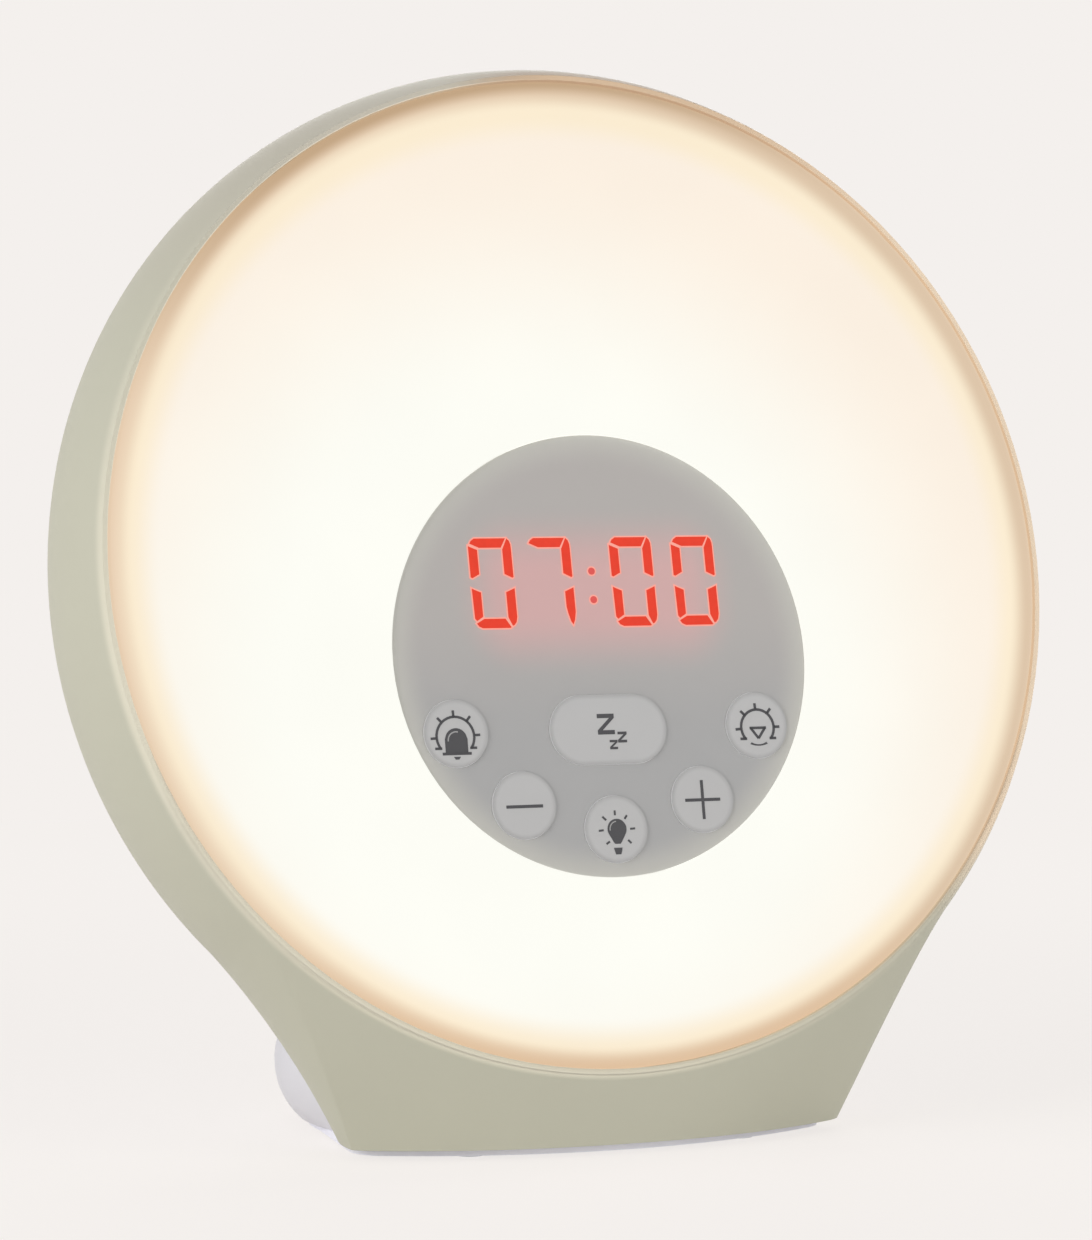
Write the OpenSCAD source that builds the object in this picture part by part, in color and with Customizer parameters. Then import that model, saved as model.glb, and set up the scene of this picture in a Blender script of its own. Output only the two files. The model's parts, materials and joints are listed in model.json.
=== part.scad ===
// Sunrise alarm clock: a lit round face leaning back on a bowed neck, with a control panel set into it.
// Units are millimetres, +Z is up, the face looks towards -Y.
// Origin: middle of the overall width and depth, on the surface the clock stands on.
// Face frame (see in_face): X to the right, Y into the body along the face normal, Z up along the face.

/* [Overall] */
// Overall depth, front edge of the lit face to the back of the heel
overall_depth = 86; // [84:0.5:92]
// Angle the face leans back from upright
face_lean = 11.4; // [8:0.2:13]
// Height of the middle of the face above the table
face_height = 95.2; // [94:0.2:100]
// Wall thickness of the mouldings
wall = 2.2; // [1.8:0.1:2.6]

/* [Round body] */
// Radius at which the rounded side of the body is centred
side_centre_r = 58.2; // [57:0.1:59]
// Radius of the rounded side
side_r = 29; // [28.5:0.1:29.5]
// Depth behind the rim at which the body is widest
side_depth = 14.4; // [14:0.1:14.8]
// Depth of the seam between the front shell and the rear housing
seam_depth = 26; // [25.5:0.1:27]

/* [Neck and heel] */
// Half the width of the neck at its foot
neck_half_w = 43.4; // [43:0.1:46]
// Radius of the hollow curve on each side of the neck
flank_r = 130; // [115:1:150]
// Radius of the bowed front of the foot, seen from above
bow_r = 86; // [82:0.5:92]
// Radius of the foot's front corners, seen from above
foot_corner_r = 8; // [6:0.5:10]
// Depth of the flat back of the neck
neck_back = 38; // [36:0.5:40]
// Greatest radius of the heel
heel_r = 44.4; // [43:0.2:45]
// Radius of the heel's rounded side
heel_side_r = 12.5; // [12:0.5:14]
// Height of the heel's widest point above the table
heel_wide_z = 10.8; // [10:0.1:12]

/* [Lit face] */
// Radius of the diffuser
diffuser_r = 82.4; // [82:0.1:82.6]
// Height of the diffuser's edge above the rim
diffuser_rise = 1.3; // [0.8:0.1:2]
// Further rise of the diffuser at its middle
diffuser_dome = 0.7; // [0.4:0.1:1.2]
// Radius of the diffuser's rounded edge
diffuser_edge_r = 2.6; // [2:0.1:3]
// Wall of the diffuser
diffuser_wall = 2; // [1.6:0.1:2.2]
// Number of clips that hold the diffuser
diffuser_clips = 8; // [6:1:10]

/* [Control panel] */
// Radius of the control panel
panel_r = 36.6; // [36:0.1:37]
// Distance from the middle of the face down to the middle of the panel
panel_drop = 15; // [14.5:0.1:15.5]
// Thickness of the panel
panel_t = 2.9; // [2.8:0.1:3.2]
// Radius of the round keys
key_r = 5.5; // [5:0.1:5.6]
// Half the distance between the two upper round keys
key_upper_x = 26.7; // [26.2:0.1:27]
// Height of the upper keys, from the middle of the face
key_upper_z = -27.4; // [-28:0.1:-27]
// Half the distance between the minus and plus keys
key_lower_x = 15.8; // [15.4:0.1:16.4]
// Height of the minus and plus keys, from the middle of the face
key_lower_z = -39.4; // [-39.6:0.1:-39]
// Height of the light key, from the middle of the face
key_light_z = -43.8; // [-44:0.1:-43.4]
// Width of the snooze key
snooze_w = 20.6; // [19:0.1:21.4]
// Height of the snooze key
snooze_h = 11.4; // [10.6:0.1:11.8]
// How far a key travels
key_travel = 0.7; // [0.5:0.1:0.8]

/* [Display] */
// Height of a digit between the middles of its end bars
digit_h = 13.3; // [12:0.1:13.8]
// Width of a digit between the middles of its side bars
digit_w = 6; // [5:0.1:6.4]
// Distance between the digits of a pair
digit_pitch = 11; // [10.6:0.1:11.6]
// Half the distance between the two inner digits
digit_inner_x = 6.9; // [6.4:0.1:7.4]
// Width of a bar
bar_w = 1.45; // [1.2:0.05:1.6]
// Height of the middle of the digits, from the middle of the face
digit_z = -2.9; // [-3.4:0.1:-2]

/* [Light] */
// Number of light-emitting diodes in the ring
led_count = 24; // [12:2:36]
// Radius of the ring they stand on
led_ring_r = 63; // [61:0.5:64]

/* [Hidden] */
$fn = 96;
fine = 180;
gap = 0.3;
key_gap = 0.1;

// Colours
sage = "#c3c2ae";
white = "#dcdadc";
opal = "#fdf3e4";
grey = "#b0adaa";
key_grey = "#b9b8b8";
board_green = "#2f6b4a";
steel = "#b8bcc0";
black = "#2a2a2c";

// Places worked out from the driving dimensions
rim_r = side_centre_r + sqrt(side_r * side_r - side_depth * side_depth);
outline_r = side_centre_r + side_r;
back_depth = side_depth + side_r;
edge_ring_r = diffuser_r - diffuser_edge_r;
edge_ring_depth = diffuser_edge_r - diffuser_rise;
front_reach = edge_ring_r * sin(face_lean) - edge_ring_depth * cos(face_lean) + diffuser_edge_r;
face_y = -overall_depth / 2 + front_reach;
heel_y = overall_depth / 2 - heel_r;
plate_lip_t = 1.3;
foot_drop = 0.5;
hem_z = plate_lip_t + foot_drop;
heel_foot_drop = heel_wide_z - hem_z;
heel_foot_r = heel_r - heel_side_r + sqrt(heel_side_r * heel_side_r - heel_foot_drop * heel_foot_drop);
// Neck outline: each flank is a circle that cuts just into the round outline and passes the foot's corner
corner_z = -(face_height - hem_z - side_depth * sin(face_lean)) / cos(face_lean);
corner_reach = norm([neck_half_w, corner_z]);
join_bite = 0.1;
flank_dist = outline_r + flank_r - join_bite;
flank_turn = acos(
  (corner_reach * corner_reach + flank_dist * flank_dist - flank_r * flank_r) / (2 * corner_reach * flank_dist)
);
flank_angle = atan2(corner_z, neck_half_w) + flank_turn;
flank_x = flank_dist * cos(flank_angle);
flank_z = flank_dist * sin(flank_angle);
join_x = outline_r * cos(flank_angle);
join_z = outline_r * sin(flank_angle);
// Middle of the bow's circle, seen from above, and of the rounded corners that run into it
bow_y = face_y - 14.5 + bow_r;
corner_x = neck_half_w - foot_corner_r;
corner_y = bow_y - sqrt((bow_r - foot_corner_r) * (bow_r - foot_corner_r) - corner_x * corner_x);

// Depths behind the rim, front to back
panel_face = -diffuser_rise - diffuser_dome + 0.5;
panel_back = panel_face + panel_t;
key_face = panel_face - 0.3;
window_t = 1;
display_front = panel_face + window_t + gap;
display_w = 52;
display_h = 19;
flange_front = panel_back + 0.3;
flange_t = 0.9;
switch_top = flange_front + flange_t + key_travel + 1.4;
control_board_front = 8.6;
board_t = 1.6;
control_board_back = control_board_front + board_t;
shield_floor = 15.2;
shield_t = 1.5;
pan_floor = shield_floor + shield_t;
pan_t = 1.5;
pan_back = pan_floor + pan_t;
post_front = pan_back;
post_r = 3.4;
post_ring_r = outline_r - 10.7;
pan_floor_r = post_ring_r - 5.9;
pan_rim_front = 10.2;
pan_rim_t = 1.2;
post_angles = [18, 90, 162, 212, 328];
main_board_front = 30;
main_board_back = main_board_front + board_t;
main_board_w = 90;
main_board_h = 56;
main_board_low = 2;
board_post_inset = [5, 6];
back_face = back_depth - wall;
connector_t = 3;
led_t = 1;
diffuser_gap = 0.15;
panel_gap = 0.1;
clip_ledge_r = diffuser_r - 2;
clip_ledge_depth = 5.4;
clip_ledge_t = 1.4;
clip_r = clip_ledge_r - 0.2;
clip_t = 1.6;
clip_hook = 0.9;
shield_r = 39.8;
shield_wall = 1.5;
control_board_r = shield_r - shield_wall - 1.7;
control_post_ring_r = control_board_r - 3.2;
carrier_ring_r = 25;
panel_flange_r = panel_r + 1.3;
speaker_r = 20;
speaker_z = -16;
speaker_yoke = back_face - 7.8;
set_key_z = 39;
set_key_r = 4.5;
set_key_pitch = 14;
set_switch_back = main_board_back + 5;
socket_z = heel_wide_z;
socket_bore_r = 5.2;
socket_seat_r = 4.95;
socket_face_y = overall_depth / 2 - 6;
socket_boss_y = overall_depth / 2 - 9;
socket_back_y = socket_boss_y - 8;
screw_r = 1.1;
screw_hole_r = 1.2;
screw_head_r = 2.4;
screw_head_t = 1.3;
foot_r = 5;
base_screw_ring_r = heel_r - 9.9;
base_boss_r = 3;
base_boss_h = 12;
base_seat_z = foot_drop + 0.5;
well_floor_t = 2.4;
slot_z = 8;
slot_w = 18;
slot_h = 6;
led_lead_z = 60;
cell_x = 28;
cell_z = 40;
cell_r = 10;
bar_gap = 0.25;

// ---------- frames and general shapes ----------

// Puts a shape that is described in the face frame in its place
module in_face() {
  translate([0, face_y, face_height]) rotate([-face_lean, 0, 0]) children();
}

// A profile of radius and depth, turned about the face normal
module spin(turn = 360) {
  rotate([-90, 0, 0]) rotate_extrude(angle = turn, $fn = fine) children();
}

// A flat outline in the face plane, given depth from one level to the next
module slab(from, to) {
  translate([0, to, 0]) rotate([90, 0, 0]) linear_extrude(height = to - from) children();
}

// A round bar along the face normal
module rod(r, from, to) {
  translate([0, from, 0]) rotate([-90, 0, 0]) cylinder(r = r, h = to - from);
}

// A ring along the face normal
module ring(r_out, r_in, from, to) {
  difference() {
    rod(r_out, from, to);
    rod(r_in, from - 1, to + 1);
  }
}

module polar(r, angle) {
  translate([r * cos(angle), 0, r * sin(angle)]) children();
}

module face_block(from, to, size) {
  translate([-size / 2, from, -size / 2]) cube([size, to - from, size]);
}

// A screw along +Z whose head stands on the plane Z = 0 and whose shank goes down from it
module screw(length) {
  difference() {
    cylinder(r = screw_head_r, h = screw_head_t);
    for (turn = [0, 90]) rotate([0, 0, turn])
      translate([-1.5, -0.3, screw_head_t - 0.6]) cube([3, 0.6, 1]);
  }
  translate([0, 0, -length]) cylinder(r = screw_r, h = length);
}

// A screw along the face normal, its head in front of or behind the depth it bears on
module front_screw(seat, length) {
  translate([0, seat, 0]) rotate([90, 0, 0]) screw(length);
}

module back_screw(seat, length) {
  translate([0, seat, 0]) rotate([-90, 0, 0]) screw(length);
}

// A wire along a line of points, with a slightly swollen bend at each one between its ends
module wire(points, r) {
  for (i = [0:len(points) - 2]) {
    along = points[i + 1] - points[i];
    translate(points[i]) rotate([0, acos(along[2] / norm(along)), atan2(along[1], along[0])])
      cylinder(r = r, h = norm(along), $fn = 24);
  }
  for (i = [1:len(points) - 2]) translate(points[i]) sphere(r = 1.05 * r, $fn = 24);
}

// A point in the clock's own axes, given in the face frame
function to_face(p) = [
  p[0],
  (p[1] - face_y) * cos(face_lean) - (p[2] - face_height) * sin(face_lean),
  (p[1] - face_y) * sin(face_lean) + (p[2] - face_height) * cos(face_lean)
];

// ---------- the body's form, shared by the shell and the housing ----------

module side_profile(inset) {
  round_r = side_r - inset;
  intersection() {
    union() {
      translate([side_centre_r, side_depth]) circle(r = round_r, $fn = fine);
      translate([0, side_depth - round_r]) square([side_centre_r, 2 * round_r]);
    }
    square([outline_r + 1, back_depth + 1]);
  }
}

// Everything beyond one flank: the body's rounded side, carried on along the hollow curve
module flank_cutter(inset) {
  reach = flank_r + side_r;
  translate([flank_x, 0, flank_z]) spin() difference() {
    translate([0, -40]) square([reach, 140]);
    translate([reach, side_depth]) circle(r = side_r - inset, $fn = fine);
  }
}

// Front of the foot seen from above: a bow between straight sides, rounded where they meet
module foot_outline(inset, half_w, back_y) {
  difference() {
    intersection() {
      translate([0, bow_y]) circle(r = bow_r - inset, $fn = 2 * fine);
      translate([-half_w + inset, face_y - 60]) square([2 * (half_w - inset), back_y - inset - face_y + 60]);
    }
    for (side = [-1, 1]) foot_corner_cutter(inset, side);
  }
}

module foot_corner_cutter(inset, side) {
  along = [corner_x, corner_y - bow_y] / norm([corner_x, corner_y - bow_y]);
  scale([side, 1]) translate([corner_x, corner_y]) difference() {
    polygon([[0, 0], 40 * along, [60, -40], [60, 0]]);
    circle(r = foot_corner_r - inset);
  }
}

// The neck: drawn straight from the rim down to the bowed foot, then hollowed by the flanks
module neck_form(inset) {
  difference() {
    hull() {
      in_face() rod(rim_r - 0.2 - inset, 0.2 + inset, neck_back - inset);
      translate([0, 0, -2]) linear_extrude(height = 1) foot_outline(inset, neck_half_w + 1, face_y + 20);
    }
    in_face() {
      flank_cutter(inset);
      mirror([1, 0, 0]) flank_cutter(inset);
      // Above the lines where the flanks touch the round outline
      slab(-60, 120) polygon([
        [0, 0], [2 * join_x, 2 * join_z], [2 * outline_r, 2 * join_z], [2 * outline_r, 2 * outline_r],
        [-2 * outline_r, 2 * outline_r], [-2 * outline_r, 2 * join_z], [-2 * join_x, 2 * join_z]
      ]);
    }
  }
}

module heel_profile(inset) {
  round_r = heel_side_r - inset;
  side_x = heel_r - heel_side_r;
  intersection() {
    union() {
      translate([side_x, heel_wide_z]) circle(r = round_r, $fn = fine);
      translate([0, heel_wide_z - round_r]) square([side_x, 2 * round_r]);
    }
    square([heel_r + 1, heel_wide_z + heel_side_r + 1]);
  }
}

module heel_form(inset) {
  translate([0, heel_y, 0]) rotate_extrude($fn = fine) heel_profile(inset);
}

module above_hem(z) {
  translate([-150, -150, z]) cube([300, 300, 300]);
}

module behind_seam() {
  in_face() face_block(seam_depth, 120, 400);
}

// ---------- outer mouldings ----------

module shell_posts() {
  for (a = post_angles) polar(post_ring_r, a) {
    rod(post_r, post_front, seam_depth - gap);
    rotate([0, -a, 0]) translate([post_r - 1, post_front, -1])
      cube([outline_r - post_ring_r - post_r + 1, seam_depth - gap - post_front, 2]);
  }
}

module shell_post_holes() {
  for (a = post_angles) polar(post_ring_r, a) rod(screw_hole_r, post_front - 1, seam_depth + 1);
}

module front_shell() {
  color(sage) difference() {
    intersection() {
      union() {
        difference() {
          union() {
            in_face() spin() side_profile(0);
            neck_form(0);
          }
          in_face() spin() side_profile(wall);
          neck_form(wall);
        }
        intersection() {
          in_face() union() {
            ring(outline_r, clip_ledge_r, clip_ledge_depth, clip_ledge_depth + clip_ledge_t);
            shell_posts();
          }
          in_face() spin() side_profile(wall / 2);
        }
        intersection() {
          front_base_screw_places() base_boss();
          neck_form(wall / 2);
        }
      }
      above_hem(hem_z);
    }
    behind_seam();
    front_base_screw_places() base_boss_hole();
    in_face() rod(diffuser_r + diffuser_gap, -10, clip_ledge_depth);
    in_face() shell_post_holes();
  }
}

module housing_wells() {
  for (a = post_angles) polar(post_ring_r, a) rod(post_r + 2, seam_depth, back_depth);
}

module well_cuts() {
  for (a = post_angles) polar(post_ring_r, a) {
    rod(post_r, seam_depth + well_floor_t, back_depth + 5);
    rod(screw_r + 0.4, seam_depth - 1, seam_depth + 5);
  }
}

module grille_holes() {
  for (ring_i = [0:4]) {
    holes = ring_i == 0 ? 1 : 6 * ring_i;
    for (i = [0:holes - 1]) translate([0, 0, speaker_z]) polar(3.4 * ring_i, i * 360 / holes)
      translate([0, back_face - 1, 0]) rotate([-90, 0, 0]) cylinder(r = 0.9, h = wall + 2, $fn = 24);
  }
}

module set_key_places() {
  for (i = [-1:1]) translate([i * set_key_pitch, 0, set_key_z]) children();
}

module board_post_places() {
  x = main_board_w / 2 - board_post_inset[0];
  low = main_board_low + board_post_inset[1];
  high = main_board_low + main_board_h - board_post_inset[1];
  for (side = [-1, 1], z = [low, high]) translate([side * x, 0, z]) children();
}

module rear_housing() {
  color(white) difference() {
    intersection() {
      union() {
        difference() {
          union() {
            in_face() spin() side_profile(0);
            neck_form(0);
            heel_form(0);
          }
          in_face() spin() side_profile(wall);
          neck_form(wall);
          heel_form(wall);
        }
        intersection() {
          in_face() {
            housing_wells();
            board_post_places() rod(3, main_board_back, back_depth);
            translate([0, 0, speaker_z]) ring(speaker_r + 2, speaker_r + gap, back_face - 4, back_face + 1);
          }
          in_face() spin() side_profile(wall / 2);
        }
        // Boss that the power socket sits in
        intersection() {
          socket_axis(socket_boss_y) cylinder(r = socket_bore_r + 2, h = 20);
          heel_form(0);
        }
        // Bosses for the screws through the base plate
        intersection() {
          rear_base_screw_places() base_boss();
          heel_form(wall / 2);
        }
      }
      above_hem(hem_z);
      behind_seam();
    }
    in_face() {
      well_cuts();
      grille_holes();
      set_key_places() rod(set_key_r + key_gap, back_face - 3, back_depth + 2);
      board_post_places() rod(screw_hole_r, main_board_back - 1, main_board_back + 6);
    }
    socket_axis(socket_face_y) cylinder(r = socket_bore_r, h = 20);
    socket_axis(0) cylinder(r = socket_seat_r, h = overall_depth);
    rear_base_screw_places() base_boss_hole();
  }
}

// ---------- base ----------

module rear_base_screw_places() {
  for (a = [-6, 45, 135, 186]) translate([0, heel_y, 0]) rotate([0, 0, a])
    translate([base_screw_ring_r, 0, 0]) children();
}

module front_base_screw_places() {
  for (x = [-24, 24]) translate([x, face_y - 6, 0]) rotate([0, 0, -90]) children();
}

module base_screw_places() {
  rear_base_screw_places() children();
  front_base_screw_places() children();
}

// A boss for a screw through the base plate, with a rib out to the wall
module base_boss() {
  translate([0, 0, hem_z]) {
    cylinder(r = base_boss_r, h = base_boss_h);
    translate([base_boss_r - 1, -1, 0]) cube([10, 2, base_boss_h]);
  }
}

module base_boss_hole() {
  translate([0, 0, hem_z - 1]) cylinder(r = screw_hole_r, h = 10);
}

module foot_places() {
  for (x = [-1, 1]) {
    translate([x * 31, -24, 0]) children();
    translate([x * 15, 26, 0]) children();
  }
}

// Outline of the base: bowed front, straight sides, round heel
module base_outline(inset) {
  front_y = corner_y - 0.1;
  intersection() {
    translate([0, heel_y]) circle(r = heel_foot_r - inset, $fn = fine);
    translate([-60, front_y]) square([120, 90]);
  }
  foot_outline(inset, neck_half_w, corner_y + inset);
  polygon([
    [-neck_half_w + inset, front_y], [neck_half_w - inset, front_y],
    [heel_foot_r - inset, heel_y], [-heel_foot_r + inset, heel_y]
  ]);
}

module base_plate() {
  color(white) difference() {
    union() {
      translate([0, 0, foot_drop]) linear_extrude(height = plate_lip_t) base_outline(1.7);
      translate([0, 0, hem_z]) linear_extrude(height = 1.2) difference() {
        base_outline(wall + 2);
        base_outline(wall + 3.4);
        // Open where the neck runs into the heel
        translate([-60, corner_y]) square([120, heel_y - corner_y]);
        base_screw_places() {
          circle(r = base_boss_r + 1);
          translate([0, -2]) square([12, 4]);
        }
      }
      // Rib that keeps the power socket in its boss
      translate([-6, socket_back_y - gap - 2.4, hem_z]) difference() {
        cube([12, 2.4, socket_z + 2]);
        translate([3, -1, socket_z - hem_z - 2.5]) cube([6, 5, 20]);
      }
    }
    foot_places() translate([0, 0, -1]) cylinder(r = foot_r + 0.1, h = foot_drop + 1.8);
    base_screw_places() {
      cylinder(r = screw_r + 0.3, h = 20, center = true);
      translate([0, 0, -1]) cylinder(r = screw_head_r + 0.2, h = 1 + base_seat_z);
    }
  }
}

module rubber_feet() {
  color(black) foot_places() {
    cylinder(r1 = foot_r - 0.4, r2 = foot_r, h = 0.4);
    translate([0, 0, 0.4]) cylinder(r = foot_r, h = foot_drop + 0.3);
  }
}

module base_screws() {
  color(steel) intersection() {
    base_screw_places() translate([0, 0, base_seat_z]) rotate([180, 0, 0]) screw(8);
    translate([-60, -60, foot_drop - 0.3]) cube([120, 120, 20]);
  }
}

// ---------- lit face ----------

// Outer form of the diffuser: a very shallow dome with a rounded edge and a skirt
module diffuser_profile(inset, back) {
  dome_r = (edge_ring_r * edge_ring_r + diffuser_dome * diffuser_dome) / (2 * diffuser_dome);
  intersection() {
    union() {
      intersection() {
        translate([0, -diffuser_rise - diffuser_dome + dome_r]) circle(r = dome_r - inset, $fn = 20 * fine);
        translate([0, -20]) square([edge_ring_r, 40]);
      }
      translate([edge_ring_r, diffuser_edge_r - diffuser_rise]) circle(r = diffuser_edge_r - inset);
      translate([0, diffuser_edge_r - diffuser_rise]) square([diffuser_r - inset, 20]);
    }
    translate([0, -20]) square([diffuser_r, 20 + back]);
  }
}

module clip_profile() {
  front = diffuser_wall - diffuser_rise - 0.3;
  ledge_back = clip_ledge_depth + clip_ledge_t;
  polygon([
    [clip_r - clip_t, front], [clip_r, front], [clip_r, ledge_back + gap],
    [clip_r + clip_hook, ledge_back + gap], [clip_r - 0.2, ledge_back + 2.4],
    [clip_r - clip_t, ledge_back + 2.4]
  ]);
}

module diffuser() {
  color(opal) in_face() difference() {
    union() {
      difference() {
        spin() diffuser_profile(0, clip_ledge_depth - gap);
        spin() diffuser_profile(diffuser_wall, clip_ledge_depth);
      }
      for (i = [0:diffuser_clips - 1]) rotate([0, (i + 0.5) * 360 / diffuser_clips, 0])
        spin(8) clip_profile();
    }
    translate([0, 0, -panel_drop]) rod(panel_r + panel_gap, -20, 20);
  }
}

// ---------- control panel and its keys ----------

module pill(w, h) {
  for (s = [-1, 1]) translate([s * (w - h) / 2, 0]) circle(d = h);
  translate([-(w - h) / 2, -h / 2]) square([w - h, h]);
}

round_keys = [
  [-key_upper_x, key_upper_z], [key_upper_x, key_upper_z],
  [-key_lower_x, key_lower_z], [key_lower_x, key_lower_z], [0, key_light_z]
];

module control_panel() {
  color(grey) in_face() difference() {
    translate([0, 0, -panel_drop]) {
      rod(panel_r, panel_face, panel_back);
      rod(panel_flange_r, panel_back - 0.8, panel_back);
    }
    // Thin window that the digits shine through
    translate([-display_w / 2 - gap, panel_face + window_t, digit_z - display_h / 2 - gap])
      cube([display_w + 2 * gap, panel_t, display_h + 2 * gap]);
    for (p = round_keys) translate([p[0], 0, p[1]]) rod(key_r + key_gap, -10, 10);
    translate([0, 0, key_upper_z]) slab(-10, 10) pill(snooze_w + 2 * key_gap, snooze_h + 2 * key_gap);
  }
}

module round_key(p) {
  color(key_grey) in_face() translate([p[0], 0, p[1]]) {
    rod(key_r, key_face, flange_front);
    rod(key_r + 0.9, flange_front, flange_front + flange_t);
    rod(1.6, flange_front + flange_t, switch_top - key_travel - 0.1);
  }
}

module alarm_key() {
  round_key(round_keys[0]);
}

module sunset_key() {
  round_key(round_keys[1]);
}

module minus_key() {
  round_key(round_keys[2]);
}

module plus_key() {
  round_key(round_keys[3]);
}

module light_key() {
  round_key(round_keys[4]);
}

module snooze_key() {
  color(key_grey) in_face() translate([0, 0, key_upper_z]) {
    slab(key_face, flange_front) pill(snooze_w, snooze_h);
    slab(flange_front, flange_front + flange_t) pill(snooze_w + 1.8, snooze_h + 1.8);
    rod(1.6, flange_front + flange_t, switch_top - key_travel - 0.1);
  }
}

module key_places() {
  for (p = round_keys) translate([p[0], 0, p[1]]) children();
  translate([0, 0, key_upper_z]) children();
}

module tact_switch(front, size, depth) {
  face_block(front + 0.8, front + depth, size);
  rod(size * 0.28, front, front + 0.8);
}

module key_switches() {
  color(black) in_face() key_places() tact_switch(switch_top, 4.6, control_board_front - switch_top);
}

module control_post_places() {
  for (a = [60, 120, 190, 250, 290, 350])
    translate([0, 0, -panel_drop]) polar(control_post_ring_r, a) children();
}

module control_board() {
  color(board_green) in_face() difference() {
    translate([0, 0, -panel_drop]) rod(control_board_r, control_board_front, control_board_back);
    control_post_places() rod(screw_hole_r, 0, 20);
  }
}

module control_screws() {
  color(steel) in_face() control_post_places() front_screw(control_board_front, 5);
}

// One bar, drawn upright: mitred ends and a straight middle
module bar(length) {
  half = bar_w / 2;
  polygon([
    [-half, -length / 2 + half], [0, -length / 2], [half, -length / 2 + half],
    [half, length / 2 - half], [0, length / 2], [-half, length / 2 - half]
  ]);
}

module digit_bars() {
  upright = digit_h / 2 - bar_gap;
  level = digit_w - bar_gap;
  for (x = [-1, 1], z = [-1, 1]) translate([x * digit_w / 2, z * digit_h / 4]) bar(upright);
  for (z = [-1:1]) translate([0, z * digit_h / 2]) rotate([0, 0, 90]) bar(level);
}

module display_pattern() {
  for (x = [-1, 1], i = [0, 1]) translate([x * (digit_inner_x + i * digit_pitch), digit_z]) digit_bars();
  for (z = [1, -3.8]) translate([0, digit_z + 0.9 + z]) circle(r = 0.75);
}

module display_module() {
  color(black) in_face() difference() {
    translate([-display_w / 2, display_front, digit_z - display_h / 2])
      cube([display_w, control_board_front - display_front, display_h]);
    slab(display_front - 1, display_front + 1) display_pattern();
  }
}

module display_segments() {
  color("#e44430") in_face() slab(display_front, display_front + 1) display_pattern();
}

// ---------- light ----------

module light_shield() {
  color(white) in_face() translate([0, 0, -panel_drop]) difference() {
    union() {
      ring(shield_r, shield_r - shield_wall, panel_back + 0.3, shield_floor);
      rod(shield_r, shield_floor, shield_floor + shield_t);
      translate([0, 0, panel_drop]) control_post_places()
        rod(2.6, control_board_back, shield_floor);
      carrier_screw_places() rod(2.6, shield_floor - 2.5, shield_floor);
    }
    translate([0, 0, panel_drop]) control_post_places() rod(screw_hole_r, 0, shield_floor + 0.5);
    carrier_screw_places() rod(screw_hole_r, shield_floor - 2, pan_back);
    translate([0, 0, panel_drop]) cable_slot();
  }
}

// Places around the middle of the panel
module carrier_screw_places() {
  for (a = [30, 150, 270]) polar(carrier_ring_r, a) children();
}

// Slot that the ribbon cable passes through
module cable_slot() {
  translate([-slot_w / 2, shield_floor - 1, slot_z - slot_h / 2]) cube([slot_w, 5, slot_h]);
}

module reflector() {
  color(white) in_face() difference() {
    union() {
      spin() polygon([
        [0, pan_floor], [pan_floor_r, pan_floor], [pan_floor_r + 6, pan_rim_front],
        [pan_floor_r + 9.8, pan_rim_front], [pan_floor_r + 9.8, pan_rim_front + pan_rim_t],
        [pan_floor_r + 7.1, pan_rim_front + pan_rim_t], [pan_floor_r + 1.6, pan_back], [0, pan_back]
      ]);
      for (a = post_angles) polar(post_ring_r, a) rod(4.2, pan_floor, pan_back);
    }
    for (a = post_angles) polar(post_ring_r, a) {
      rod(screw_r + 0.3, 10, 30);
      rod(3, 0, pan_floor);
    }
    cable_slot();
    translate([0, 0, led_lead_z]) rod(2.6, pan_floor - 1, pan_back + 1);
    translate([0, 0, -panel_drop]) carrier_screw_places() rod(screw_r + 0.3, pan_floor - 1, pan_back + 1);
  }
}

module led_board() {
  color("white") in_face() ring(led_ring_r + 5.5, led_ring_r - 5.5, pan_floor - board_t, pan_floor);
}

module leds() {
  color("#ffe9b0") in_face() for (i = [0:led_count - 1]) polar(led_ring_r, (i + 0.5) * 360 / led_count)
    translate([-1.6, pan_floor - board_t - led_t, -1.6]) cube([3.2, led_t, 3.2]);
}

module reflector_screws() {
  color(steel) in_face() for (a = post_angles) polar(post_ring_r, a) front_screw(pan_floor, 5);
}

module carrier_screws() {
  color(steel) in_face() translate([0, 0, -panel_drop]) carrier_screw_places() back_screw(pan_back, 4.5);
}

module shell_screws() {
  color(steel) in_face() for (a = post_angles) polar(post_ring_r, a)
    back_screw(seam_depth + well_floor_t, 5.2);
}

// ---------- main board and what it carries ----------

module main_board() {
  color(board_green) in_face() difference() {
    translate([-main_board_w / 2, main_board_front, main_board_low])
      cube([main_board_w, board_t, main_board_h]);
    board_post_places() rod(screw_r + 0.2, main_board_front - 1, main_board_back + 1);
  }
}

module board_screws() {
  color(steel) in_face() board_post_places() front_screw(main_board_front, 6);
}

// Three capacitors, a processor, a converter and a row of resistors
module board_parts() {
  color(black) in_face() {
    for (p = [[-30, 22], [-31, 34], [-21, 28]])
      translate([p[0], 0, p[1]]) rod(4, main_board_front - 9, main_board_front);
    translate([-8, main_board_front - 1.6, 32]) cube([12, 1.6, 12]);
    translate([14, main_board_front - 6, 16]) cube([12, 6, 10]);
    for (i = [0:4]) translate([-14 + 5 * i, main_board_front - 1, 48]) cube([3.2, 1, 1.6]);
  }
}

module connectors() {
  color("#e8e4da") in_face() for (front = [control_board_back, main_board_front - connector_t])
    translate([-8, front, slot_z - 2]) cube([16, connector_t, 4]);
}

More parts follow.
